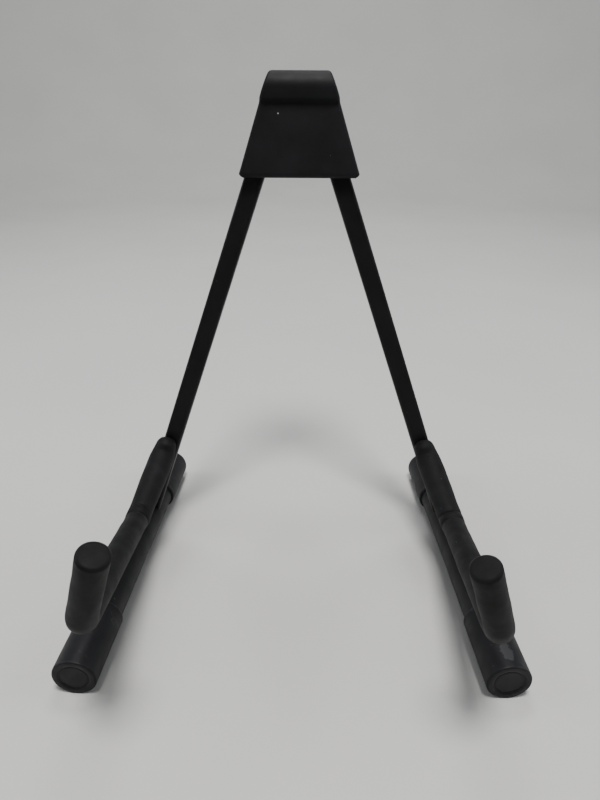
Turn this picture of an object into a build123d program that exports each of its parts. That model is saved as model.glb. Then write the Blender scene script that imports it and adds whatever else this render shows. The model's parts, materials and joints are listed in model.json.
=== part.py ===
from build123d import *
import os
from math import atan2, cos, radians, sin, sqrt, tan

# Folding A-frame guitar stand, millimetres, +Z up, the user's side towards -Y.
# Two flat side frames (leg, hook and foot) hang from a small head on two parallel pivot pins.

# ---- driving dimensions -------------------------------------------------------------------
lean = 7.0                  # the plane of the legs leans back by this many degrees
splay = 19.4                # each leg leans outwards in that plane, degrees
foot_spacing = 319.0        # between the two points where the legs meet the foot axes
pivot_spacing = 40.6        # between the two pivot pins

leg_width, leg_depth = 17.0, 14.5
leg_wall, leg_corner = 1.2, 2.5
leg_top = leg_width / 2     # the leg's upper end is rounded about its pivot

boot_radius = 18.0
axis_height = 17.5          # the boots are pressed half a millimetre flat on the floor
foot_tube_radius, foot_tube_wall = 12.5, 1.5
foot_sleeve_radius = 15.6
foot_front, foot_rear = 207.0, 105.0     # from the leg to the two ends of the foot
front_boot_length, rear_boot_length = 65.0, 71.0
boot_end_wall = 4.0

rod_radius = 5.0
arm_root = 33.0             # height up the leg at which the arm's line leaves the leg's axis
arm_rise = 8.5              # from square to the leg, towards the head, degrees
post_tilt = 17.2            # of the post, away from the leg, degrees
# The two bent rods differ a little: in their angles, in the length of the arm from the leg's axis
# to the elbow's corner, and in the length of the post from there to the end of the rod.
hook_trim = {"left": 0.7, "right": -0.6}
arm_length = {"left": 257.0, "right": 255.5}
post_length = {"left": 70.5, "right": 68.0}
hook_root = 82.0            # height up the leg at which the rod turns away from it
shank_top = 97.0            # height up the leg of the rod's welded end
brace_end = 80.0            # along the arm from the leg's axis, where the slanting brace meets it
hook_offset = 2.5           # the shank lies this far outwards of the middle of the leg's face
root_radius, brace_radius, elbow_radius = 18.0, 26.0, 20.0
brace_foam_radius, arm_foam_radius = 11.6, 10.3
foam_nose_radius = 8.5      # where the foam begins, at the top of the shank
foam_end = 5.5              # foam past each end of the rod

plate_gap = leg_depth + 1.2
plate_thickness = 2.0
outer_face = plate_gap / 2 + plate_thickness
plate_top, plate_bottom = 439.0, 370.0
plate_top_half, plate_bottom_half = 20.5, 44.5
flange_top, flange_thickness = 405.0, 1.5
stop_play = 0.03
pad_top, pad_bottom = 445.0, 361.5
pad_top_half, pad_bottom_half = 26.0, 53.5
pad_front, pad_parting, cover_back = 17.0, -2.0, -17.8
pad_wall, cover_wall = 3.4, 2.4
roll_radius, roll_forward = 12.2, 12.0
pad_corner = 4.0

pin_radius, pin_clearance = 3.0, 0.05
bush_radius, washer_radius, washer_thickness = 5.0, 7.5, 0.5
spacer_bolt_radius, spacer_radius = 2.5, 5.0
spacer_heights = (427.0, 388.0)
cover_screw_heights = (404.0, 376.0)
pad_boss_heights = (402.0, 376.0)

# ---- frames of reference ------------------------------------------------------------------
up_plane = Vector(0, sin(radians(lean)), cos(radians(lean)))
forward = Vector(0, -cos(radians(lean)), sin(radians(lean)))
sideways = Vector(1, 0, 0)

axis_up = axis_height / cos(radians(lean))          # of the foot axes, measured up the legs' plane
crossing = axis_up + foot_spacing / 2 / tan(radians(splay))
pivot_up = crossing - pivot_spacing / 2 / tan(radians(splay))
leg_length = (foot_spacing - pivot_spacing) / 2 / sin(radians(splay))


def on_plane(x, up, ahead=0.0):
    """A point given by its place on the legs' middle plane and its distance ahead of it."""
    return sideways * x + up_plane * up + forward * ahead


def head_plane(ahead):
    """The sketch plane of the head's flat parts: x sideways, y up the plane, normal forward."""
    return Plane(origin=forward * ahead, x_dir=sideways, z_dir=forward)


class Side:
    """One side frame: all of it lies in the plane of its leg's axis and the forward direction."""

    def __init__(self, name):
        self.name = name
        self.sign = -1 if name == "left" else 1
        outwards = sideways * self.sign
        self.up = up_plane * cos(radians(splay)) - outwards * sin(radians(splay))
        self.junction = on_plane(self.sign * foot_spacing / 2, axis_up)
        self.pivot = on_plane(self.sign * pivot_spacing / 2, pivot_up)
        level = atan2(forward.Z, self.up.Z)
        self.ahead = forward * cos(level) - self.up * sin(level)
        self.across = forward.cross(self.up)
        self.out = outwards * cos(radians(splay)) + up_plane * sin(radians(splay))

    def point(self, up, ahead=0.0):
        return self.junction + self.up * up + forward * ahead

    def hook_path(self):
        """The hook rod's line: a shank on the leg's face, a slanting brace, the arm and the post.

        The shank lies off the middle of the leg, and the brace heads back towards the middle.
        """
        rise = radians(arm_rise + hook_trim[self.name])
        tilt = radians(post_tilt + hook_trim[self.name])
        reach = leg_depth / 2 + rod_radius
        arm = forward * cos(rise) + self.up * sin(rise)
        corner = self.point(arm_root)
        start = self.point(shank_top, reach) + self.out * hook_offset
        root = self.point(hook_root, reach) + self.out * hook_offset
        brace = corner + arm * brace_end
        elbow = corner + arm * arm_length[self.name]
        top = elbow + (self.up * cos(tilt) + forward * sin(tilt)) * post_length[self.name]
        radii = [root_radius, brace_radius, elbow_radius]
        return FilletPolyline(start, root, brace, elbow, top, radius=radii)


def swept(path, radius):
    """A round bar of one radius along a path."""
    return sweep(Plane(origin=path @ 0, z_dir=path % 0) * Circle(radius), path=path)


def bar(start, direction, length, radius):
    """A round bar from a point along a direction."""
    return extrude(Plane(origin=start, z_dir=direction) * Circle(radius), amount=length)


def tube(start, direction, length, radius, bore):
    return bar(start, direction, length, radius) - bar(start, direction, length, bore)


# ---- the side frames ----------------------------------------------------------------------
def leg_bar(side, shrink=0.0, extra=0.0):
    section = Plane(origin=side.junction, x_dir=side.across, z_dir=side.up)
    profile = RectangleRounded(leg_width - 2 * shrink, leg_depth - 2 * shrink, leg_corner - shrink)
    return extrude(section * profile, amount=leg_length + leg_top + extra)


def leg_tube(side):
    solid = leg_bar(side) - leg_bar(side, shrink=leg_wall, extra=1)
    solid -= foot_bar(side, foot_tube_radius)
    round_end = bar(side.pivot - forward * leg_depth, forward, 2 * leg_depth, leg_width / 2)
    above_pivot = Plane(origin=side.pivot, x_dir=side.across, z_dir=side.up)
    corners = extrude(above_pivot * Rectangle(2 * leg_width, 1.5 * leg_depth), amount=leg_width)
    solid -= corners - round_end
    return solid - bar(side.pivot - forward * leg_depth, forward, 2 * leg_depth, bush_radius)


def foot_bar(side, radius, front=foot_front, rear=foot_rear):
    return bar(side.junction - side.ahead * rear, side.ahead, front + rear, radius)


def foot_tube(side):
    front, rear = foot_front - boot_end_wall, foot_rear - boot_end_wall
    inner = foot_bar(side, foot_tube_radius - foot_tube_wall, front, rear)
    return foot_bar(side, foot_tube_radius, front, rear) - inner


def foot_sleeve(side):
    front, rear = foot_front - front_boot_length, foot_rear - rear_boot_length
    solid = foot_bar(side, foot_sleeve_radius, front, rear) - foot_bar(side, foot_tube_radius)
    return solid - leg_bar(side)


def boot(side, direction, reach, length, end_round):
    """A moulded end cap: thick closed end, rounded rims, pressed flat where it stands."""
    end = side.junction + direction * reach
    solid = bar(end, direction * -1, length, boot_radius)
    rims = solid.edges().filter_by(GeomType.CIRCLE).sort_by_distance(end)
    solid = fillet(rims[0:1], end_round)
    rims = solid.edges().filter_by(GeomType.CIRCLE).sort_by_distance(end - direction * length)
    solid = fillet(rims[0:1], 1.5)
    solid -= bar(end - direction * boot_end_wall, direction * -1, length, foot_tube_radius)
    floor = Pos(0, 0, -boot_radius) * Box(2000, 2000, 2 * boot_radius)
    return solid - floor


def front_boot(side):
    solid = boot(side, side.ahead, foot_front, front_boot_length, 1.6)
    end = side.junction + side.ahead * foot_front
    return solid - tube(end, side.ahead * -1, 0.8, 12.5, 11.0)


def rear_boot(side):
    return boot(side, side.ahead * -1, foot_rear, rear_boot_length, 8.0)


def hook_rod(side):
    return swept(side.hook_path(), rod_radius)


def hook_foam(side):
    """Foam over the whole rod: closed round the post, thick round the brace, slimmer at the leg."""
    path = side.hook_path()
    shank, root_bend, brace, brace_bend, arm, elbow, post = [Wire(edge) for edge in path.edges()]
    nose_length = shank.length + foam_end
    solid = bar((shank @ 0) - (shank % 0) * foam_end, shank % 0, nose_length, foam_nose_radius)
    ends = [(0, foam_nose_radius), (1, brace_foam_radius)]
    sections = [
        Plane(origin=root_bend @ t, z_dir=root_bend % t) * Circle(radius) for t, radius in ends
    ]
    solid += sweep(sections, path=root_bend, multisection=True)
    solid += bar(brace @ 0, brace % 0, brace.length, brace_foam_radius)
    solid += swept(brace_bend, brace_foam_radius)
    solid += bar(arm @ 0, arm % 0, arm.length, arm_foam_radius)
    solid += swept(elbow, arm_foam_radius)
    solid += bar(post @ 0, post % 0, post.length + foam_end, arm_foam_radius)
    top = solid.edges().filter_by(GeomType.CIRCLE).sort_by_distance((post @ 1) + (post % 1) * foam_end)
    solid = fillet(top[0:1], 3.0)
    return solid - swept(path, rod_radius) - leg_bar(side)


def pivot_bush(side):
    start = side.pivot - forward * (leg_depth / 2)
    return tube(start, forward, leg_depth, bush_radius, pin_radius + pin_clearance)


# ---- the head -----------------------------------------------------------------------------
def trapezoid(top, bottom, top_half, bottom_half, corner):
    """A flat outline, symmetric about the stand's middle, with rounded corners."""
    outline = Polygon(
        (-bottom_half, bottom), (bottom_half, bottom), (top_half, top), (-top_half, top), align=None
    )
    return fillet(outline.vertices(), corner)


def plate(back):
    outline = trapezoid(plate_top, plate_bottom, plate_top_half, plate_bottom_half, 5)
    solid = extrude(head_plane(back) * outline, amount=plate_thickness)
    holes = [(pivot_spacing / 2 * sign, pivot_up, pin_radius) for sign in (-1, 1)]
    holes += [(0, height, spacer_bolt_radius) for height in spacer_heights]
    for x, up, radius in holes:
        solid -= bar(on_plane(x, up, back - 1), forward, plate_thickness + 2, radius)
    return solid


def front_plate():
    return plate(plate_gap / 2)


def stop_flange():
    """A strip along the outer face of the open right leg, reaching from plate to plate."""

    def half_width(up, offset):
        return (crossing - up) * tan(radians(splay)) + (leg_width / 2 + offset) / cos(radians(splay))

    outer = stop_play + flange_thickness
    outline = Polygon(
        (half_width(plate_bottom, stop_play), plate_bottom),
        (half_width(plate_bottom, outer), plate_bottom),
        (half_width(flange_top, outer), flange_top),
        (half_width(flange_top, stop_play), flange_top),
        align=None,
    )
    back = -plate_gap / 2 - plate_thickness
    return extrude(head_plane(back) * outline, amount=plate_gap + plate_thickness)


def rear_plate():
    """The plate at the back, with two folded flanges that stop the legs when they are open."""
    solid = plate(-plate_gap / 2 - plate_thickness)
    solid += stop_flange()
    solid += mirror(stop_flange(), about=Plane.YZ)
    for height in cover_screw_heights:
        solid -= bar(on_plane(0, height, -plate_gap), forward, plate_gap, 1.5)
    return solid


def shell(back, front, wall):
    """The outer shape of half the head, less the room inside it, open along the bottom."""
    outer = trapezoid(pad_top, pad_bottom, pad_top_half, pad_bottom_half, pad_corner)
    slope = (pad_bottom_half - pad_top_half) / (pad_top - pad_bottom)
    side_wall = wall * sqrt(1 + slope * slope)
    inner_top = pad_top - wall
    inner_bottom = pad_bottom - 5
    inner = Polygon(
        (-pad_bottom_half - 5 * slope + side_wall, inner_bottom),
        (pad_bottom_half + 5 * slope - side_wall, inner_bottom),
        (pad_top_half + wall * slope - side_wall, inner_top),
        (-pad_top_half - wall * slope + side_wall, inner_top),
        align=None,
    )
    return extrude(head_plane(back) * outer, amount=front - back), inner


def head_pad():
    """The moulded rubber pad: a hollow face with a forward roll along its top edge."""
    solid, inner = shell(pad_parting, pad_front, pad_wall)
    centre = on_plane(-pad_bottom_half, pad_top - roll_radius, roll_forward)
    outline = trapezoid(pad_top, pad_bottom, pad_top_half, pad_bottom_half, pad_corner)
    room = extrude(head_plane(pad_parting) * outline, amount=roll_forward + 2 * roll_radius)
    solid += bar(centre, sideways, 2 * pad_bottom_half, roll_radius) & room
    solid -= extrude(head_plane(pad_parting) * inner, amount=pad_front - pad_wall - pad_parting)
    for height in pad_boss_heights:
        boss_length = pad_front - pad_wall - outer_face
        solid += bar(on_plane(0, height, outer_face), forward, boss_length, 5.0)
    return solid


def rear_cover():
    solid, inner = shell(cover_back, pad_parting, cover_wall)
    solid -= extrude(head_plane(cover_back + cover_wall) * inner, amount=-cover_back)
    rim = solid.faces().sort_by(Axis(forward * 0, forward))[0].edges()
    solid = fillet(rim, 2.0)
    for height in cover_screw_heights:
        boss_start = on_plane(0, height, cover_back + cover_wall)
        boss_length = -plate_gap / 2 - plate_thickness - cover_back - cover_wall
        solid += bar(boss_start, forward, boss_length, 4.0)
        solid -= bar(on_plane(0, height, cover_back - 1), forward, 20, 1.5)
    return solid


def bolt(x, up, radius, back, front, head_radius, head_height):
    """A round-headed bolt whose shank runs forward from back to front, head at the front."""
    shank = bar(on_plane(x, up, back), forward, front - back, radius)
    head = bar(on_plane(x, up, front), forward, head_height, head_radius)
    head = fillet(head.edges().filter_by(GeomType.CIRCLE).sort_by_distance(
        on_plane(x, up, front + head_height))[0:1], head_height * 0.6)
    return shank + head


def nut(x, up, radius, front, height, across_flats):
    seat = Plane(origin=on_plane(x, up, front), x_dir=sideways, z_dir=forward * -1)
    blank = extrude(seat * RegularPolygon(across_flats / 2, 6, major_radius=False), amount=height)
    return blank - bar(on_plane(x, up, front), forward * -1, height, radius)


def pivot_bolt(side):
    x = side.sign * pivot_spacing / 2
    return bolt(x, pivot_up, pin_radius, -outer_face - 4.6, outer_face, 5.2, 3.2)


def pivot_nut(side):
    return nut(side.sign * pivot_spacing / 2, pivot_up, pin_radius, -outer_face, 4.4, 10)


def pivot_washers(side):
    """Two nylon washers, one each side of the leg."""
    rings = []
    for back in (-leg_depth / 2 - washer_thickness, leg_depth / 2):
        centre = side.pivot + forward * back
        rings.append(tube(centre, forward, washer_thickness, washer_radius, pin_radius + pin_clearance))
    return Compound(children=rings)


def spacer(height):
    back = on_plane(0, height, -plate_gap / 2)
    return tube(back, forward, plate_gap, spacer_radius, spacer_bolt_radius)


def spacer_bolts():
    return Compound(children=[
        bolt(0, up, spacer_bolt_radius, -outer_face - 3.6, outer_face, 4.4, 2.8) for up in spacer_heights
    ])


def spacer_nuts():
    return Compound(children=[nut(0, up, spacer_bolt_radius, -outer_face, 3.4, 8) for up in spacer_heights])


def cover_screws():
    """Two pan-head screws hold the rear cover to the rear plate."""
    screws = []
    for up in cover_screw_heights:
        shank = bar(on_plane(0, up, cover_back), forward, -plate_gap / 2 - cover_back, 1.5)
        head = bar(on_plane(0, up, cover_back), forward * -1, 1.8, 3.0)
        rim = head.edges().filter_by(GeomType.CIRCLE).sort_by_distance(on_plane(0, up, cover_back - 1.8))
        screws.append(shank + fillet(rim[0:1], 1.0))
    return Compound(children=screws)


# ---- assembly -----------------------------------------------------------------------------
parts = {
    "head_front_plate": front_plate(),
    "head_rear_plate": rear_plate(),
    "head_pad": head_pad(),
    "head_rear_cover": rear_cover(),
    "upper_spacer": spacer(spacer_heights[0]),
    "lower_spacer": spacer(spacer_heights[1]),
    "spacer_bolts": spacer_bolts(),
    "spacer_nuts": spacer_nuts(),
    "cover_screws": cover_screws(),
}
side_parts = {
    "leg_tube": leg_tube,
    "hook_rod": hook_rod,
    "hook_foam": hook_foam,
    "foot_tube": foot_tube,
    "foot_sleeve": foot_sleeve,
    "front_boot": front_boot,
    "rear_boot": rear_boot,
    "pivot_bush": pivot_bush,
    "pivot_bolt": pivot_bolt,
    "pivot_nut": pivot_nut,
    "pivot_washers": pivot_washers,
}
sides = [Side("left"), Side("right")]
for side in sides:
    for name, build in side_parts.items():
        parts[side.name + "_" + name] = build(side)

# The origin is on the floor, in the middle of the stand's footprint.
box = Compound(children=[Compound(solid.solids()) for solid in parts.values()]).bounding_box()
to_origin = Pos(0, -(box.min.Y + box.max.Y) / 2, 0)

os.makedirs("parts", exist_ok=True)
for name, solid in parts.items():
    export_step(to_origin * solid, f"parts/{name}.step")

for side in sides:
    pivot = to_origin * Pos(*side.pivot)
    print(side.name, "pivot", pivot.position, "leg", round(leg_length, 2))
print("forward", forward, "box", box.size, "shift", to_origin.position.Y)
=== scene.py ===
import json
from math import atan2, cos, pi, radians, sin, sqrt, tan

import bmesh
import bpy
from mathutils import Matrix, Vector, noise


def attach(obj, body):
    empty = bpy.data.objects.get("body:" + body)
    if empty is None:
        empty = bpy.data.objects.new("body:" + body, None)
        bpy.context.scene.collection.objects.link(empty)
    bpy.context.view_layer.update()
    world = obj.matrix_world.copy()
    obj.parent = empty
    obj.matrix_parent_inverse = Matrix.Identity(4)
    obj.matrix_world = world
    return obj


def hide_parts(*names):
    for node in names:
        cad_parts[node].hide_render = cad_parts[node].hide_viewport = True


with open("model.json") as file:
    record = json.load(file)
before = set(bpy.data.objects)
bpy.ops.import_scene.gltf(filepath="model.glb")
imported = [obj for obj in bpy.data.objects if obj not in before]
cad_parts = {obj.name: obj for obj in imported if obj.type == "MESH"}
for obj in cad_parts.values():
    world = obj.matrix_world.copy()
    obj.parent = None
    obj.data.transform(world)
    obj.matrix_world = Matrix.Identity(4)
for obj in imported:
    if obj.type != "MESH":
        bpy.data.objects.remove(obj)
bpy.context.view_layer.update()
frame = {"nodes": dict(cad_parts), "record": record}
MM = 0.001

# ---- the frame's own directions and points ------------------------------------------------
joints = {joint["name"]: joint for joint in frame["record"]["behaviour"]["joints"]}
forward = Vector(joints["left_leg_fold"]["axis"])
sideways = Vector((1, 0, 0))
up_plane = forward.cross(sideways)
splay = radians(joints["left_leg_fold"]["range_deg"][1])
pivots = {side: Vector(joints[side + "_leg_fold"]["pos_m"]) for side in ("left", "right")}
plane_origin = Vector((0, pivots["left"].y, pivots["left"].z))
axis_height = 17.5 * MM


class Side:
    """The directions of one side frame, which lies in the plane of its leg and `forward`."""

    def __init__(self, name):
        self.name = name
        self.body = name + "_leg"
        self.sign = -1 if name == "left" else 1
        outwards = sideways * self.sign
        self.up = up_plane * cos(splay) - outwards * sin(splay)
        self.out = outwards * cos(splay) + up_plane * sin(splay)
        self.pivot = pivots[name]
        self.junction = self.pivot - self.up * ((self.pivot.z - axis_height) / self.up.z)
        level = atan2(forward.z, self.up.z)
        self.ahead = forward * cos(level) - self.up * sin(level)


sides = [Side("left"), Side("right")]


# ---- mesh helpers -------------------------------------------------------------------------
def make_object(name, verts, faces, smooth_angle=40):
    mesh = bpy.data.meshes.new(name)
    mesh.from_pydata(verts, [], faces)
    mesh.validate()
    work = bmesh.new()
    work.from_mesh(mesh)
    bmesh.ops.recalc_face_normals(work, faces=work.faces)
    work.to_mesh(mesh)
    work.free()
    obj = bpy.data.objects.new(name, mesh)
    bpy.context.scene.collection.objects.link(obj)
    shade(obj, smooth_angle)
    return obj


def shade(obj, smooth_angle):
    """Smooth shading, with the edges sharper than the given angle kept crisp."""
    work = bmesh.new()
    work.from_mesh(obj.data)
    for face in work.faces:
        face.smooth = True
    for edge in work.edges:
        edge.smooth = not edge.is_manifold or edge.calc_face_angle(0) < radians(smooth_angle)
    work.to_mesh(obj.data)
    work.free()


def loft(name, rings, smooth_angle=40):
    """A closed skin over rings of equal length; a ring of one point closes an end."""
    verts, faces, starts = [], [], []
    for ring in rings:
        starts.append(len(verts))
        verts.extend(ring)
    for index in range(len(rings) - 1):
        one, two = rings[index], rings[index + 1]
        first, second = starts[index], starts[index + 1]
        count = max(len(one), len(two))
        for k in range(count):
            n = (k + 1) % count
            if len(one) == 1:
                faces.append((first, second + k, second + n))
            elif len(two) == 1:
                faces.append((first + k, first + n, second))
            else:
                faces.append((first + k, first + n, second + n, second + k))
    return make_object(name, verts, faces, smooth_angle)


def smooth_step(value, low, high):
    t = min(1.0, max(0.0, (value - low) / (high - low)))
    return t * t * (3 - 2 * t)


def lathe(name, start, direction, profile, wobble, segments=72):
    """A turned skin; profile holds (distance along the axis, radius) pairs, and wobble is the
    height of its unevenness. Nothing of it reaches below z = 0."""
    axis = direction.normalized()
    across = axis.cross(Vector((0, 0, 1))).normalized()
    above = across.cross(axis)
    rings = []
    for distance, radius in profile:
        centre = start + axis * distance
        if radius == 0:
            rings.append([centre])
            continue
        ring = []
        for k in range(segments):
            angle = 2 * pi * k / segments
            bump = wobble * noise.noise(Vector((distance * 60, 2 * cos(angle), 2 * sin(angle))))
            point = centre + (across * cos(angle) + above * sin(angle)) * (radius + bump)
            point.z = max(point.z, 0.0)
            ring.append(point)
        rings.append(ring)
    return loft(name, rings, 35)


def rounded(start, end, steps=6):
    """Quarter-round profile points between two (distance, radius) pairs. They leave the first one
    radially and reach the second one along the axis."""
    (d0, r0), (d1, r1) = start, end
    points = []
    for k in range(steps + 1):
        angle = pi / 2 * k / steps
        points.append((d0 + (d1 - d0) * (1 - cos(angle)), r0 + (r1 - r0) * sin(angle)))
    return points


# ---- materials ----------------------------------------------------------------------------
class Graph:
    """A small helper around one node material."""

    def __init__(self, name):
        self.material = bpy.data.materials.new(name)
        self.material.use_nodes = True
        self.nodes = self.material.node_tree.nodes
        self.links = self.material.node_tree.links
        self.shader = self.nodes["Principled BSDF"]
        self.place = self.add("ShaderNodeTexCoord").outputs["Object"]

    def add(self, kind, **settings):
        node = self.nodes.new(kind)
        for key, value in settings.items():
            setattr(node, key, value)
        return node

    def noise(self, scale, detail=3.0, rough=0.55, distortion=0.0):
        node = self.add("ShaderNodeTexNoise")
        node.inputs["Scale"].default_value = scale
        node.inputs["Detail"].default_value = detail
        node.inputs["Roughness"].default_value = rough
        node.inputs["Distortion"].default_value = distortion
        self.links.new(self.place, node.inputs["Vector"])
        return node.outputs["Fac"]

    def cells(self, scale, feature="F1"):
        node = self.add("ShaderNodeTexVoronoi", feature=feature)
        node.inputs["Scale"].default_value = scale
        self.links.new(self.place, node.inputs["Vector"])
        return node

    def spread(self, value, low, high, to_low=0.0, to_high=1.0):
        node = self.add("ShaderNodeMapRange")
        node.clamp = True
        limits = {"From Min": low, "From Max": high, "To Min": to_low, "To Max": to_high}
        for key, number in limits.items():
            node.inputs[key].default_value = number
        self.links.new(value, node.inputs["Value"])
        return node.outputs["Result"]

    def spot(self, centre, stretch):
        """The distance from one place, measured with each axis multiplied by its stretch."""
        mapping = self.add("ShaderNodeMapping")
        mapping.inputs["Scale"].default_value = stretch
        mapping.inputs["Location"].default_value = [-c * k for c, k in zip(centre, stretch)]
        self.links.new(self.place, mapping.inputs["Vector"])
        length = self.add("ShaderNodeVectorMath", operation="LENGTH")
        self.links.new(mapping.outputs["Vector"], length.inputs[0])
        return length.outputs["Value"]

    def math(self, operation, one, two):
        node = self.add("ShaderNodeMath", operation=operation)
        self.links.new(one, node.inputs[0])
        self.links.new(two, node.inputs[1])
        return node.outputs[0]

    def mix(self, factor, one, two):
        node = self.add("ShaderNodeMix", data_type="RGBA")
        self.links.new(factor, node.inputs[0])
        for socket, value in ((node.inputs[6], one), (node.inputs[7], two)):
            if isinstance(value, tuple):
                socket.default_value = (*value, 1)
            else:
                self.links.new(value, socket)
        return node.outputs[2]

    def bump(self, height, distance, strength=1.0, below=None):
        node = self.add("ShaderNodeBump")
        node.inputs["Strength"].default_value = strength
        node.inputs["Distance"].default_value = distance
        self.links.new(height, node.inputs["Height"])
        if below is not None:
            self.links.new(below, node.inputs["Normal"])
        return node.outputs["Normal"]

    def finish(self, colour, roughness, normal, specular=0.5, metallic=0.0, sheen=0.0):
        self.links.new(colour, self.shader.inputs["Base Color"])
        self.links.new(roughness, self.shader.inputs["Roughness"])
        if normal is not None:
            self.links.new(normal, self.shader.inputs["Normal"])
        self.shader.inputs["Specular IOR Level"].default_value = specular
        self.shader.inputs["Metallic"].default_value = metallic
        self.shader.inputs["Sheen Weight"].default_value = sheen
        self.shader.inputs["Sheen Roughness"].default_value = 0.45
        return self.material


def dusted(graph, colour, dust, scale, size, share):
    """Small pale specks of dust on a colour: only a share of the cells holds one."""
    specks = graph.cells(scale)
    dot = graph.spread(specks.outputs["Distance"], size * 0.6, size, 1.0, 0.0)
    chosen = graph.spread(specks.outputs["Color"], 1 - share, 1 - share + 0.02)
    return graph.mix(graph.math("MULTIPLY", dot, chosen), colour, dust)


def make_paint():
    """Satin black powder coat: fine orange peel, slightly uneven sheen, dust in places."""
    g = Graph("satin_powder_coat")
    cloud = g.noise(26, 4)
    colour = g.mix(g.spread(cloud, 0.35, 0.7), (0.0030, 0.0030, 0.0033), (0.0060, 0.0060, 0.0066))
    colour = dusted(g, colour, (0.12, 0.12, 0.115), 190, 0.08, 0.22)
    rough = g.spread(g.noise(48, 5, 0.65), 0.3, 0.75, 0.40, 0.56)
    peel = g.bump(g.noise(900, 2, 0.5), 0.00006, 0.35)
    return g.finish(colour, rough, peel, specular=0.22)


def make_foam():
    """Closed-cell foam skin: charcoal, mottled and dull, with fine pores and soft dents."""
    g = Graph("foam_skin")
    mottle = g.spread(g.noise(75, 5, 0.65), 0.3, 0.72)
    colour = g.mix(mottle, (0.0040, 0.0040, 0.0046), (0.0085, 0.0087, 0.0100))
    rub = g.spread(g.noise(19, 3, 0.6, 0.8), 0.56, 0.74)
    colour = g.mix(rub, colour, (0.0130, 0.0134, 0.0150))
    colour = dusted(g, colour, (0.14, 0.135, 0.125), 150, 0.07, 0.25)
    pores = g.cells(1500)
    rough = g.spread(g.noise(60, 4), 0.3, 0.7, 0.58, 0.74)
    dents = g.bump(g.noise(95, 3, 0.5), 0.0006, 0.25)
    skin = g.bump(pores.outputs["Distance"], 0.00012, 0.45, dents)
    return g.finish(colour, rough, skin, specular=0.15, sheen=0.01)


def make_sleeve_skin():
    """Bluish black vinyl skin with a fine leathery grain."""
    g = Graph("grained_sleeve")
    cloud = g.spread(g.noise(34, 5, 0.6), 0.3, 0.7)
    colour = g.mix(cloud, (0.0042, 0.0044, 0.0058), (0.0085, 0.0090, 0.0115))
    colour = dusted(g, colour, (0.16, 0.16, 0.15), 150, 0.07, 0.30)
    grain = g.cells(1100, feature="DISTANCE_TO_EDGE")
    rough = g.spread(g.noise(55, 4), 0.3, 0.7, 0.44, 0.58)
    normal = g.bump(grain.outputs["Distance"], 0.0002, 0.4)
    return g.finish(colour, rough, normal, specular=0.24)


def make_boot_rubber():
    """Moulded rubber: satin and mottled, with dust specks, light scuffs and one worn patch."""
    g = Graph("boot_rubber")
    cloud = g.spread(g.noise(40, 5, 0.6), 0.32, 0.7)
    colour = g.mix(cloud, (0.0046, 0.0047, 0.0060), (0.0095, 0.0098, 0.0122))
    patches = g.spread(g.noise(30, 4, 0.7, 1.2), 0.60, 0.68)
    scratches = g.spread(g.noise(330, 3, 0.7), 0.45, 0.62)
    scuff = g.math("MULTIPLY", patches, scratches)
    colour = g.mix(scuff, colour, (0.030, 0.030, 0.032))
    # the worn patch on top of the right front boot, with a ragged rim
    worn = g.spot((0.1687, -0.1110, 0.0355), (1.0, 0.6, 1.0))
    ragged = g.spread(g.noise(260, 3), 0.3, 0.7, -0.0016, 0.0016)
    worn = g.spread(g.math("ADD", worn, ragged), 0.0042, 0.0050, 0.7, 0.0)
    colour = g.mix(worn, colour, (0.038, 0.039, 0.042))
    colour = dusted(g, colour, (0.15, 0.15, 0.14), 160, 0.07, 0.30)
    rough = g.spread(g.noise(70, 4), 0.3, 0.7, 0.46, 0.60)
    normal = g.bump(g.noise(750, 3, 0.6), 0.00012, 0.4)
    return g.finish(colour, rough, normal, specular=0.24)


def make_pad_rubber():
    """The head's satin rubber: a fine matt grain, faint handling marks and a few white specks."""
    g = Graph("pad_rubber")
    cloud = g.spread(g.noise(30, 4, 0.6), 0.35, 0.68)
    colour = g.mix(cloud, (0.0048, 0.0048, 0.0060), (0.0086, 0.0090, 0.0112))
    colour = dusted(g, colour, (0.42, 0.41, 0.38), 105, 0.075, 0.42)
    rough = g.spread(g.noise(42, 4, 0.6), 0.3, 0.7, 0.54, 0.68)
    normal = g.bump(g.noise(1100, 2, 0.5), 0.0001, 0.4)
    return g.finish(colour, rough, normal, specular=0.2)


def make_metal(name, tint, rough_low, rough_high):
    """Turned steel with fine brushing and slightly uneven colour."""
    g = Graph(name)
    colour = g.mix(g.spread(g.noise(160, 4), 0.3, 0.7), tuple(v * 0.8 for v in tint), tint)
    rough = g.spread(g.noise(420, 3), 0.3, 0.7, rough_low, rough_high)
    return g.finish(colour, rough, g.bump(g.noise(1500, 2), 0.00003, 0.3), metallic=1.0)


def make_nylon():
    """Pale nylon, slightly uneven in colour."""
    g = Graph("nylon")
    colour = g.mix(g.spread(g.noise(120, 3), 0.3, 0.7), (0.60, 0.60, 0.56), (0.72, 0.72, 0.68))
    rough = g.spread(g.noise(90), 0.3, 0.7, 0.4, 0.55)
    return g.finish(colour, rough, g.bump(g.noise(800), 0.00005, 0.3))


paint, foam, sleeve_skin = make_paint(), make_foam(), make_sleeve_skin()
boot_rubber, pad_rubber = make_boot_rubber(), make_pad_rubber()
by_slot = {
    "leg_paint": paint,
    "foam": foam,
    "foot_sleeve": sleeve_skin,
    "boot_rubber": boot_rubber,
    "pad_rubber": pad_rubber,
    "bare_steel": make_metal("bare_steel", (0.42, 0.42, 0.43), 0.3, 0.45),
    "fastener_steel": make_metal("black_steel", (0.07, 0.07, 0.075), 0.3, 0.48),
    "nylon": make_nylon(),
}
for part in frame["record"]["subparts"]:
    mesh = frame["nodes"][part["node"]].data
    mesh.materials.clear()
    mesh.materials.append(by_slot[part["material_slot"]])


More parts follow.
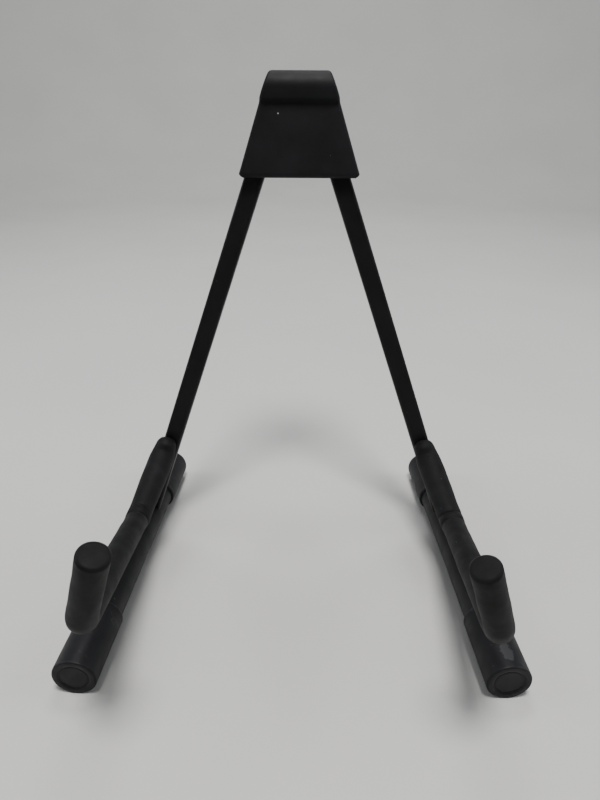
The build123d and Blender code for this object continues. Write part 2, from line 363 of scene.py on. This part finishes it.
def dress(obj, material, slot, body, *nodes):
    obj.data.materials.append(material)
    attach(obj, body)
    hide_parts(*nodes)
    return obj


# ---- the padded hooks ---------------------------------------------------------------------
leg_depth = 14.5 * MM
rod_radius, foam_end = 5 * MM, 5.5 * MM
nose_foam, brace_foam, arm_foam = 9.6 * MM, 11.2 * MM, 10.4 * MM
post_foam = {"left": 10.4 * MM, "right": 9.9 * MM}
arm_root = 33 * MM
arm_length = {"left": 257 * MM, "right": 255.5 * MM}
post_length = {"left": 70.5 * MM, "right": 68 * MM}
foam_top, hook_root, brace_end = 98.5 * MM, 82 * MM, 82 * MM
root_radius, brace_radius, elbow_radius = 18 * MM, 26 * MM, 20 * MM
# how far the root, brace and elbow corners sit outwards, in mm
hook_offset = {"left": (4.0, 2.8, 1.4), "right": (1.6, 2.4, 0.0)}
# in degrees; the trim is added to both angles
arm_rise, post_tilt = 8.5, 17.2
hook_trim = {"left": 0.7, "right": -0.6}
straight_step, bend_step = 1.5 * MM, 1.2 * MM
# the foam's relief: the swelling below the brace, the folds at its bend, and the step after it
swell_height, fold_depth, step_depth = 1.2 * MM, 1.9 * MM, 1.3 * MM
fold_width = {"left": 3.6 * MM, "right": 12 * MM}
noise_seed = {"left": 3.7, "right": 11.3}
root_ripple, elbow_ripple = 5.2 * MM, 4.6 * MM


def hook_line(side):
    """Centre points of the hook's foam from the leg to the post's top, and the distances along it
    at which each bend begins and ends, followed by its whole length."""
    rise = radians(arm_rise + hook_trim[side.name])
    tilt = radians(post_tilt + hook_trim[side.name])
    reach = leg_depth / 2 + rod_radius
    arm = forward * cos(rise) + side.up * sin(rise)
    post = side.up * cos(tilt) + forward * sin(tilt)
    corner = side.junction + side.up * arm_root
    shank = side.junction + forward * reach
    corners = [
        shank + side.up * hook_root,
        corner + arm * brace_end,
        corner + arm * arm_length[side.name],
    ]
    offsets = hook_offset[side.name]
    corners = [at + side.out * (offset * MM) for at, offset in zip(corners, offsets)]
    top = corners[2] + post * (post_length[side.name] + foam_end)
    points, marks = [], []
    here, travelled = corners[0] + side.up * (foam_top - hook_root), 0.0
    radii = (root_radius, brace_radius, elbow_radius)
    for at, after, radius in zip(corners, corners[1:] + [top], radii):
        into, out_of = (at - here).normalized(), (after - at).normalized()
        angle = into.angle(out_of)
        reach = radius * tan(angle / 2)
        begin = at - into * reach
        steps = max(2, round((begin - here).length / straight_step))
        points.extend(here.lerp(begin, k / steps) for k in range(steps))
        normal = (out_of - into * into.dot(out_of)).normalized()
        steps = max(4, round(radius * angle / bend_step))
        for k in range(steps):
            a = angle * k / steps
            points.append(begin + normal * radius * (1 - cos(a)) + into * radius * sin(a))
        travelled += (begin - here).length
        marks.append(travelled)
        travelled += radius * angle
        marks.append(travelled)
        here = at + out_of * reach
    steps = round((top - here).length / straight_step)
    points.extend(here.lerp(top, k / steps) for k in range(steps + 1))
    return points, marks + [travelled + (top - here).length]


def make_hook_foam(side):
    """The foam sleeve of one hook, with its tapers, its folds and creases at the bends, and its
    two closed ends."""
    points, marks = hook_line(side)
    root_from, root_to, brace_from, brace_to, elbow_from, elbow_to, end = marks
    plane_normal = (points[0] - points[-1]).cross(points[len(points) // 2] - points[0]).normalized()
    seed = noise_seed[side.name]
    segments = 64
    rings, travelled = [], 0.0
    for index, point in enumerate(points):
        if index:
            travelled += (point - points[index - 1]).length
        here = points[min(index + 1, len(points) - 1)] - points[max(index - 1, 0)]
        tangent = here.normalized()
        inner = plane_normal.cross(tangent).normalized()
        if inner.dot(points[len(points) // 2] + side.up * 0.1 - point) < 0:
            inner.negate()
        other = tangent.cross(inner)
        # slim at the leg, thick along the brace, slimmer again along the arm and the post
        radius = nose_foam + (brace_foam - nose_foam) * smooth_step(travelled, 0, 26 * MM)
        swell = smooth_step(travelled, 2 * MM, 24 * MM)
        radius += swell_height * swell * (1 - smooth_step(travelled, 30 * MM, brace_from))
        on_arm = smooth_step(travelled, brace_to - 5 * MM, brace_to + 7 * MM)
        radius += (arm_foam - brace_foam) * on_arm
        on_post = smooth_step(travelled, elbow_from - 20 * MM, elbow_to)
        radius += (post_foam[side.name] - arm_foam) * on_post
        # the end at the leg and the rim of the post's top are rounded off
        lip = max(0.0, 1 - travelled / (7 * MM))
        radius -= 5 * MM * (1 - sqrt(1 - lip * lip))
        radius += 0.3 * MM * noise.noise(Vector((travelled * 55, seed, 0)))
        edge = max(0.0, 1 - (end - travelled) / (2.0 * MM))
        radius -= 1.8 * MM * (1 - sqrt(max(0.0, 1 - edge * edge)))
        at_bend = smooth_step(travelled, brace_from - 2 * MM, brace_from + 6 * MM)
        at_bend *= 1 - smooth_step(travelled, brace_to + 2 * MM, brace_to + 8 * MM)
        at_root = smooth_step(travelled, root_from, root_from + 8 * MM)
        at_root *= 1 - smooth_step(travelled, root_to, root_to + 14 * MM)
        at_elbow = smooth_step(travelled, elbow_from, elbow_from + 6 * MM)
        at_elbow *= 1 - smooth_step(travelled, elbow_to - 6 * MM, elbow_to)
        step_in = smooth_step(travelled, brace_to - 2 * MM, brace_to)
        step_in -= smooth_step(travelled, brace_to, brace_to + 5 * MM)
        ring = []
        for k in range(segments):
            angle = 2 * pi * k / segments
            facing = cos(angle)
            crease = max(0.0, facing + 0.35) / 1.35
            wave = pi * (travelled - brace_to) / fold_width[side.name]
            fold = 1 - abs(sin(wave + 0.3 * sin(angle * 2 + seed)))
            root_wave = 1 + sin(2 * pi * travelled / root_ripple + sin(angle * 3))
            elbow_wave = 1 + sin(2 * pi * travelled / elbow_ripple + sin(angle * 3))
            spot = Vector((cos(angle) * 1.6, sin(angle) * 1.6, travelled * 90 + seed))
            r = radius
            r -= fold_depth * fold ** 2 * crease * at_bend
            r -= step_depth * crease ** 2 * max(0.0, step_in)
            r -= 0.16 * MM * root_wave * crease * at_root
            r -= 0.22 * MM * elbow_wave * crease * at_elbow
            r -= 0.35 * MM * max(0.0, -facing) * at_elbow
            r += 0.18 * MM * noise.noise(spot)
            ring.append(point + (inner * facing + other * sin(angle)) * r)
        rings.append(ring)
    # a flat, faintly domed face closes the post; the other end tucks in against the leg
    axis = (points[-1] - points[-2]).normalized()
    top, last = points[-1], rings[-1]
    for share, height in ((0.94, 0.12), (0.8, 0.3), (0.55, 0.5), (0.28, 0.6)):
        rings.append([top + (v - top) * share + axis * height * MM for v in last])
    rings.append([top + axis * 0.65 * MM])
    back, first = (points[0] - points[1]).normalized(), rings[0]
    for share, height in ((0.8, 0.5), (0.4, 0.9)):
        rings.insert(0, [points[0] + (v - points[0]) * share + back * height * MM for v in first])
    rings.insert(0, [points[0] + back * 1.0 * MM])
    name = side.name + "_hook_foam"
    obj = loft(side.name + "_foam_sleeve", rings, 80)
    dress(obj, foam, "foam", side.body, name)


# ---- the feet -----------------------------------------------------------------------------
foot_front, foot_rear = 207 * MM, 105 * MM
front_boot_length, rear_boot_length = 65 * MM, 71 * MM
boot_radius, sleeve_radius = 18 * MM, 15.6 * MM
toe_out = {"left": 2.4 * MM, "right": 1.0 * MM}      # sideways, at the foot's front end
boot_wobble, skin_wobble = 0.12 * MM, 0.22 * MM
skin_overlap, skin_end_radius = 2 * MM, 13 * MM      # how the skin tucks into each boot


def boot_rim(length, steps):
    """The rim at a boot's inner end; steps holds (distance from that end, radius) in mm."""
    points = [(length - back * MM, radius * MM) for back, radius in steps]
    return points + [(length, sleeve_radius - 0.6 * MM)]


def make_foot(side):
    """One foot: a boot at each end, and the skin between them."""
    rear_end = side.junction - side.ahead * foot_rear
    front_end = side.junction + side.ahead * foot_front
    front_end += sideways * (side.sign * toe_out[side.name])
    along = (front_end - rear_end).normalized()
    length = front_boot_length
    # the front face: a shallow dish inside a raised ring, in mm
    face = [(1.1, 0), (1.1, 4), (1.0, 9.2), (0.95, 10.6), (1.0, 11.0), (1.25, 11.4), (1.25, 12.0)]
    face += [(0.9, 12.5), (0.3, 13.1), (0.05, 14.0), (0.0, 15.9)]
    profile = [(d * MM, r * MM) for d, r in face]
    profile += rounded((0.0, 16.4 * MM), (1.7 * MM, boot_radius))[1:]
    profile += [(d * MM, boot_radius - 0.1 * MM * d / 61) for d in range(4, 60, 3)]
    profile += boot_rim(length, ((3.6, 17.85), (2.9, 18), (1.2, 18), (0.5, 17.7), (0, 17.0)))
    name = side.name + "_front_boot_moulding"
    boot = lathe(name, front_end, along * -1, profile, boot_wobble)
    dress(boot, boot_rubber, "boot_rubber", side.body, side.name + "_front_boot")

    length = rear_boot_length
    profile = [(0.0, 0), (0.0, 4 * MM), (0.05 * MM, 8 * MM)]
    profile += rounded((0.15 * MM, 9.6 * MM), (8.2 * MM, boot_radius), 10)
    profile += [(d * MM, boot_radius) for d in range(11, 66, 3)]
    profile += boot_rim(length, ((3.4, 17.9), (2.4, 18), (1.2, 17.9), (0.4, 17.4), (0, 16.8)))
    boot = lathe(side.name + "_rear_boot_moulding", rear_end, along, profile, boot_wobble)
    dress(boot, boot_rubber, "boot_rubber", side.body, side.name + "_rear_boot")

    run = foot_front + foot_rear - front_boot_length - rear_boot_length + 2 * skin_overlap
    steps = 64
    profile = [(0.0, skin_end_radius)]
    profile += [(run * k / steps, sleeve_radius) for k in range(steps + 1)]
    profile += [(run, skin_end_radius)]
    start = front_end - along * (front_boot_length - skin_overlap)
    sleeve = lathe(side.name + "_foot_skin", start, along * -1, profile, skin_wobble)
    dress(sleeve, sleeve_skin, "foot_sleeve", side.body, side.name + "_foot_sleeve")


# ---- the head -----------------------------------------------------------------------------
pad_top, pad_bottom, pad_top_half, pad_bottom_half = 445 * MM, 361.5 * MM, 26 * MM, 53.5 * MM
pad_front, parting, cover_back = 17 * MM, -2 * MM, -17.8 * MM
roll_radius, roll_forward = 12.2 * MM, 12 * MM
plane_foot = plane_origin - up_plane * (plane_origin.z / up_plane.z)
pad_shift = 1.8 * MM


def half_width(up):
    t = (pad_top - up) / (pad_top - pad_bottom)
    return pad_top_half + (pad_bottom_half - pad_top_half) * t


def outline_half(up):
    """Half the head's width at a height, with the outline's corners rounded."""
    inset = 0.0
    for distance, radius in ((up - pad_bottom, 4 * MM), (pad_top - up, 1.6 * MM)):
        short = min(radius, max(0.0, radius - distance))
        inset += radius - sqrt(radius * radius - short * short)
    return half_width(up) - inset


def head_point(x, up, ahead):
    return plane_foot + sideways * (x + pad_shift) + up_plane * up + forward * ahead


def extrude_profile(name, profile, rounding):
    """A closed (ahead, up) outline carried across the head. Its slanted sides are rounded off by
    the radius given for each point."""
    count = len(profile)
    columns = [(k / 20, None) for k in range(-20, 21)]
    quarter = [pi / 2 * k / 6 for k in range(1, 7)]
    layout = [(-1, a) for a in reversed(quarter)] + columns + [(1, a) for a in quarter]
    inward = []
    for i in range(count):
        before, after = Vector(profile[i - 1]), Vector(profile[(i + 1) % count])
        along = (after - before).normalized()
        inward.append(Vector((along.y, -along.x)))
    area = sum(
        profile[i - 1][0] * profile[i][1] - profile[i][0] * profile[i - 1][1]
        for i in range(count)
    )
    if area > 0:
        inward = [-v for v in inward]
    verts, faces = [], []
    for share, angle in layout:
        for i, (ahead, up) in enumerate(profile):
            radius = rounding[i]
            limit = outline_half(up)
            if angle is None:
                x, depth = share * (limit - radius), 0.0
            else:
                x, depth = share * (limit - radius + radius * sin(angle)), radius * (1 - cos(angle))
            verts.append(head_point(x, up + inward[i].y * depth, ahead + inward[i].x * depth))
    for column in range(len(layout) - 1):
        for i in range(count):
            n = (i + 1) % count
            a, b = column * count, (column + 1) * count
            faces.append((a + i, a + n, b + n, b + i))
    faces.append(tuple(range(count)))
    faces.append(tuple(range((len(layout) - 1) * count, len(layout) * count)))
    return make_object(name, verts, faces, 38)


def arc(centre, radius, start, end, steps):
    """Points of an arc in the (ahead, up) plane; angles in degrees from straight ahead."""
    points = []
    for k in range(steps + 1):
        angle = radians(start + (end - start) * k / steps)
        points.append((centre[0] + radius * cos(angle), centre[1] + radius * sin(angle)))
    return points


def line(start, end, steps):
    """Points between two others, without either end."""
    return [
        (start[0] + (end[0] - start[0]) * k / steps, start[1] + (end[1] - start[1]) * k / steps)
        for k in range(1, steps)
    ]


def hollow(obj, back, front, wall, shoulder):
    """Cuts the room for the leg tops out of a moulding, open along its bottom. The walls thicken
    towards the top by the shoulder's width, so that the rounded corners stay whole."""
    low, high = pad_bottom - 5 * MM, pad_top - wall
    low_half, high_half = half_width(low) - wall, half_width(high) - wall - shoulder
    outline = [(-low_half, low), (low_half, low), (high_half, high), (-high_half, high)]
    verts = [head_point(x, up, ahead) for ahead in (back, front) for x, up in outline]
    faces = [(0, 1, 2, 3), (4, 5, 6, 7), (0, 1, 5, 4), (1, 2, 6, 5), (2, 3, 7, 6), (3, 0, 4, 7)]
    cutter = make_object(obj.name + "_room", verts, faces)
    cut = obj.modifiers.new("room", "BOOLEAN")
    cut.operation, cut.object, cut.solver = "DIFFERENCE", cutter, "EXACT"
    evaluated = obj.evaluated_get(bpy.context.evaluated_depsgraph_get())
    mesh = bpy.data.meshes.new_from_object(evaluated)
    obj.modifiers.clear()
    obj.data = mesh
    bpy.data.objects.remove(cutter)
    shade(obj, 38)


def make_head():
    """The pad in front, with the roll along its top, and the cover behind it."""
    roll_centre = (roll_forward, pad_top - roll_radius)
    top = [(parting, pad_top - 0.2 * MM), (parting + 0.5 * MM, pad_top)]
    top += line((parting + 0.5 * MM, pad_top), (roll_forward, pad_top), 5)
    roll = arc(roll_centre, roll_radius, 90, -65, 30)
    crease = (pad_front, roll[-1][1] - 0.7 * MM)
    face_end = (pad_front, pad_bottom + 4.5 * MM)
    face = [crease]
    face += line(crease, face_end, 26)
    lip = arc((pad_front - 4.5 * MM, pad_bottom + 4.5 * MM), 4.5 * MM, 0, -90, 8)
    bottom = line(lip[-1], (parting, pad_bottom), 4) + [(parting, pad_bottom + 0.2 * MM)]
    profile = top + roll + face + lip + bottom
    rounding = [
        0.4 * MM + 1.8 * MM * smooth_step(ahead, parting, parting + 9 * MM)
        for ahead, _ in profile
    ]
    pad = extrude_profile("head_pad_moulding", profile, rounding)
    hollow(pad, parting - 1 * MM, pad_front - 3.4 * MM, 3.4 * MM, 1 * MM)
    dress(pad, pad_rubber, "pad_rubber", "head", "head_pad")

    edge = 5 * MM
    profile = [(parting - 0.1 * MM, pad_bottom + 0.2 * MM), (parting - 0.5 * MM, pad_bottom)]
    profile += line(profile[-1], (cover_back + edge, pad_bottom), 4)
    profile += arc((cover_back + edge, pad_bottom + edge), edge, -90, -180, 8)
    profile += line(profile[-1], (cover_back, pad_top - edge), 24)
    profile += arc((cover_back + edge, pad_top - edge), edge, 180, 90, 8)
    profile += line(profile[-1], (parting - 0.5 * MM, pad_top), 4)
    profile += [(parting - 0.5 * MM, pad_top), (parting - 0.1 * MM, pad_top - 0.2 * MM)]
    rounding = [
        0.4 * MM + 3.6 * MM * smooth_step(-ahead, -parting, -parting + 9 * MM)
        for ahead, _ in profile
    ]
    cover = extrude_profile("head_cover_moulding", profile, rounding)
    hollow(cover, cover_back + 2.4 * MM, parting + 1 * MM, 2.4 * MM, 3.2 * MM)
    dress(cover, pad_rubber, "pad_rubber", "head", "head_rear_cover")


make_head()
for side in sides:
    make_hook_foam(side)
    make_foot(side)

# ---- floor, light and camera --------------------------------------------------------------
def make_sweep():
    """A seamless round studio sweep: a level floor that curves up into a far wall all around."""
    flat, bend = 2.4, 1.5
    outline = [(0.6, 0.0), (1.5, 0.0), (flat, 0.0)]
    for k in range(1, 16):
        angle = radians(6 * k)
        outline.append((flat + bend * sin(angle), bend - bend * cos(angle)))
    outline += [(3.9, 4.5)]
    rings = [[Vector((0, 0, 0))]]
    for reach, height in outline:
        turns = [2 * pi * k / 96 for k in range(96)]
        rings.append([Vector((reach * cos(a), reach * sin(a), height)) for a in turns])
    floor = loft("floor", rings)
    g = Graph("pale_floor")
    tint = g.mix(g.spread(g.noise(3, 2), 0.3, 0.7), (0.60, 0.60, 0.59), (0.63, 0.63, 0.62))
    rough = g.spread(g.noise(5), 0, 1, 0.85, 0.95)
    floor.data.materials.append(g.finish(tint, rough, None, specular=0.2))


make_sweep()
world = bpy.data.worlds.new("studio")
world.use_nodes = True
world.node_tree.nodes["Background"].inputs["Color"].default_value = (0.92, 0.94, 1.0, 1)
world.node_tree.nodes["Background"].inputs["Strength"].default_value = 0.10
bpy.context.scene.world = world


def area_light(name, place, aim, size, power, tint=(1, 1, 1)):
    data = bpy.data.lights.new(name, "AREA")
    data.shape, data.size, data.energy, data.color = "DISK", size, power, tint
    lamp = bpy.data.objects.new(name, data)
    lamp.location = place
    lamp.rotation_euler = (Vector(aim) - Vector(place)).to_track_quat("-Z", "Y").to_euler()
    bpy.context.scene.collection.objects.link(lamp)


area_light("key", (0.05, -0.55, 2.0), (0, 0, 0.1), 0.5, 36, (1, 0.98, 0.95))
area_light("left", (-1.7, 0.1, 0.9), (0, 0, 0.15), 0.9, 11, (0.95, 0.97, 1.0))
area_light("right", (1.7, 0.1, 0.9), (0, 0, 0.15), 0.9, 10, (0.95, 0.97, 1.0))
area_light("backdrop", (0, 1.4, 2.6), (0, 2.6, 0.4), 1.4, 44)

camera_data = bpy.data.cameras.new("camera")
focal_pixels, sensor_size, picture_height = 591.3, 36, 800
camera_data.lens = focal_pixels * sensor_size / picture_height
camera = bpy.data.objects.new("camera", camera_data)
yaw, pitch, roll = radians(-0.388), radians(26.916), radians(0.3)
right = Vector((cos(yaw), -sin(yaw), 0))
ahead = Vector((sin(yaw) * cos(pitch), cos(yaw) * cos(pitch), -sin(pitch)))
above = right.cross(ahead)
camera_x = right * cos(roll) + above * sin(roll)
camera_y = above * cos(roll) - right * sin(roll)
camera.matrix_world = Matrix.Translation((0.00718, -0.43722, 0.42143)) @ Matrix(
    (camera_x, camera_y, -ahead)
).transposed().to_4x4()
bpy.context.scene.collection.objects.link(camera)
bpy.context.scene.camera = camera
